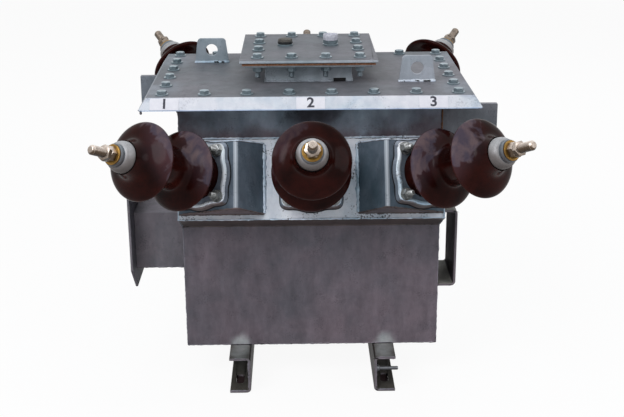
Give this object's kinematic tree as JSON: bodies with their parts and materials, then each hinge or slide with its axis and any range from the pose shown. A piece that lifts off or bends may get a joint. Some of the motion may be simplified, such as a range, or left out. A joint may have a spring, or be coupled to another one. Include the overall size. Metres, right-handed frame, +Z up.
{
  "type": "combined instrument transformer",
  "caption": "Oil-filled combined voltage and current transformer: steel tank on two channels, bolted cover and hatch, sloping pockets front and rear with brown porcelain bushings.",
  "frame": {"origin": "centre of the rectangle of the four fixing slots in the two channels, on the floor under the tank's centre", "axes": "+Z up; -Y out of the front face with the nearer bushings; +X to the right seen from the front"},
  "size_m": [0.7848, 0.9675, 0.705],
  "materials": {
    "galvanised_dark": "hot-dip galvanised, weathered, with vertical streaks",
    "galvanised_base": "hot-dip galvanised, dull",
    "galvanised_light": "hot-dip galvanised, mid grey with a faint spangle",
    "galvanised_bright": "hot-dip galvanised, bright and speckled",
    "galvanised_turret": "hot-dip galvanised, dark blue-grey plates with bright bent edges",
    "clamp_zinc": "galvanised pressed flange",
    "black_rubber": "matt gasket sheet",
    "cork": "brown cork and rubber gasket sheet",
    "black_steel": "blackened hex plug",
    "white_tape": "plug wrapped in white sealing tape",
    "bright_steel": "nickel-plated stud and nuts",
    "brown_porcelain": "dark reddish-brown glossy glaze",
    "cast_grey": "matt cast grey",
    "brass": "plain brass washer"
  },
  "bodies": {
    "root": {"front_wall": "galvanised_dark", "rear_wall": "galvanised_dark", "left_wall": "galvanised_dark", "right_wall": "galvanised_dark", "bottom_plate": "galvanised_dark", "terminal_box": "galvanised_dark", "terminal_box_cover": "galvanised_dark", "strap_bracket": "galvanised_dark", "left_channel": "galvanised_base", "right_channel": "galvanised_base", "rim_flange": "galvanised_light", "cover": "galvanised_light", "hatch_neck": "galvanised_light", "hatch_plate": "galvanised_light", "left_lifting_lug": "galvanised_light", "right_lifting_lug": "galvanised_light", "left_side_plate": "galvanised_light", "right_side_plate": "galvanised_light", "front_pocket": "galvanised_bright", "rear_pocket": "galvanised_bright", "front_turrets": "galvanised_turret", "rear_turrets": "galvanised_turret", "cover_gasket": "black_rubber", "hatch_gasket": "cork", "fill_plug": "black_steel", "vent_plug": "white_tape", "earth_stud": "bright_steel", "front_left_terminal": "bright_steel", "front_middle_terminal": "bright_steel", "front_right_terminal": "bright_steel", "rear_left_terminal": "bright_steel", "rear_middle_terminal": "bright_steel", "rear_right_terminal": "bright_steel", "front_sheds": "brown_porcelain", "rear_sheds": "brown_porcelain", "front_left_porcelain": "brown_porcelain", "front_middle_porcelain": "brown_porcelain", "front_right_porcelain": "brown_porcelain", "rear_left_porcelain": "brown_porcelain", "rear_middle_porcelain": "brown_porcelain", "rear_right_porcelain": "brown_porcelain", "front_left_clamp": "clamp_zinc", "front_middle_clamp": "clamp_zinc", "front_right_clamp": "clamp_zinc", "rear_left_clamp": "clamp_zinc", "rear_middle_clamp": "clamp_zinc", "rear_right_clamp": "clamp_zinc", "terminal_caps": "cast_grey", "terminal_washers": "brass"}
  },
  "joints": []
}
